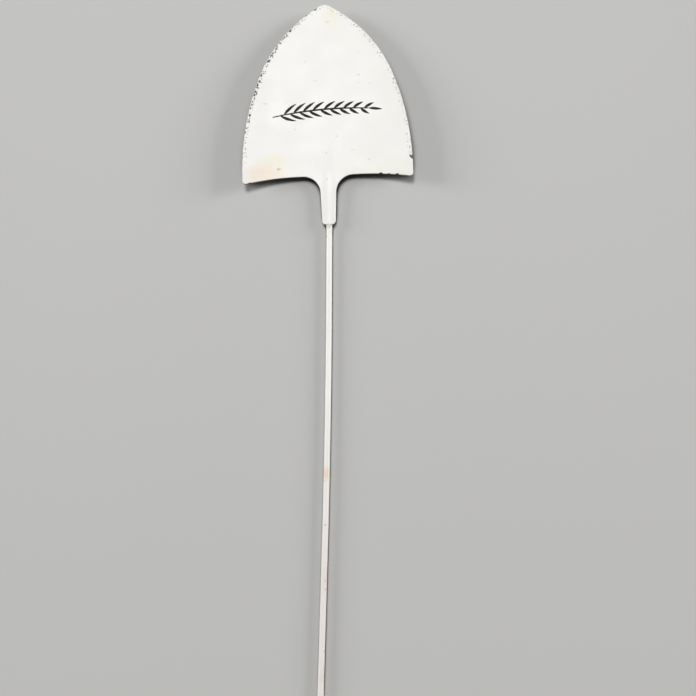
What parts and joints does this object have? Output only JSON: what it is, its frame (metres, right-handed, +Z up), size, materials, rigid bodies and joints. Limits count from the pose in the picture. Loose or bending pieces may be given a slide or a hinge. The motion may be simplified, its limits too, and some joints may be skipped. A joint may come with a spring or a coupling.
{
  "type": "plant label stake",
  "caption": "Small spade-shaped sheet metal plant label, point up, welded to a slim round rod that pushes into a pot or bed.",
  "frame": {"origin": "on the axis of the rod's lower leg at the soil line, 70 mm above the rod's foot", "axes": "+Z up along the stake, with the blade's point at the top; the label face looks to -Y and the rod and its welds are behind it; +X to the right seen from the front"},
  "size_m": [0.0801, 0.0073, 0.3479],
  "materials": {
    "blade_paint": "warm white paint, satin, stippled dark along the cut edges, with a few faint stains",
    "rod_paint": "warm white paint, satin, with faint rusty spots",
    "weld_paint": "warm white paint over small weld beads"
  },
  "bodies": {
    "root": {"spade_blade": "blade_paint", "stake_rod": "rod_paint", "left_weld_bead": "weld_paint", "right_weld_bead": "weld_paint", "top_weld_tack": "weld_paint"}
  },
  "joints": []
}
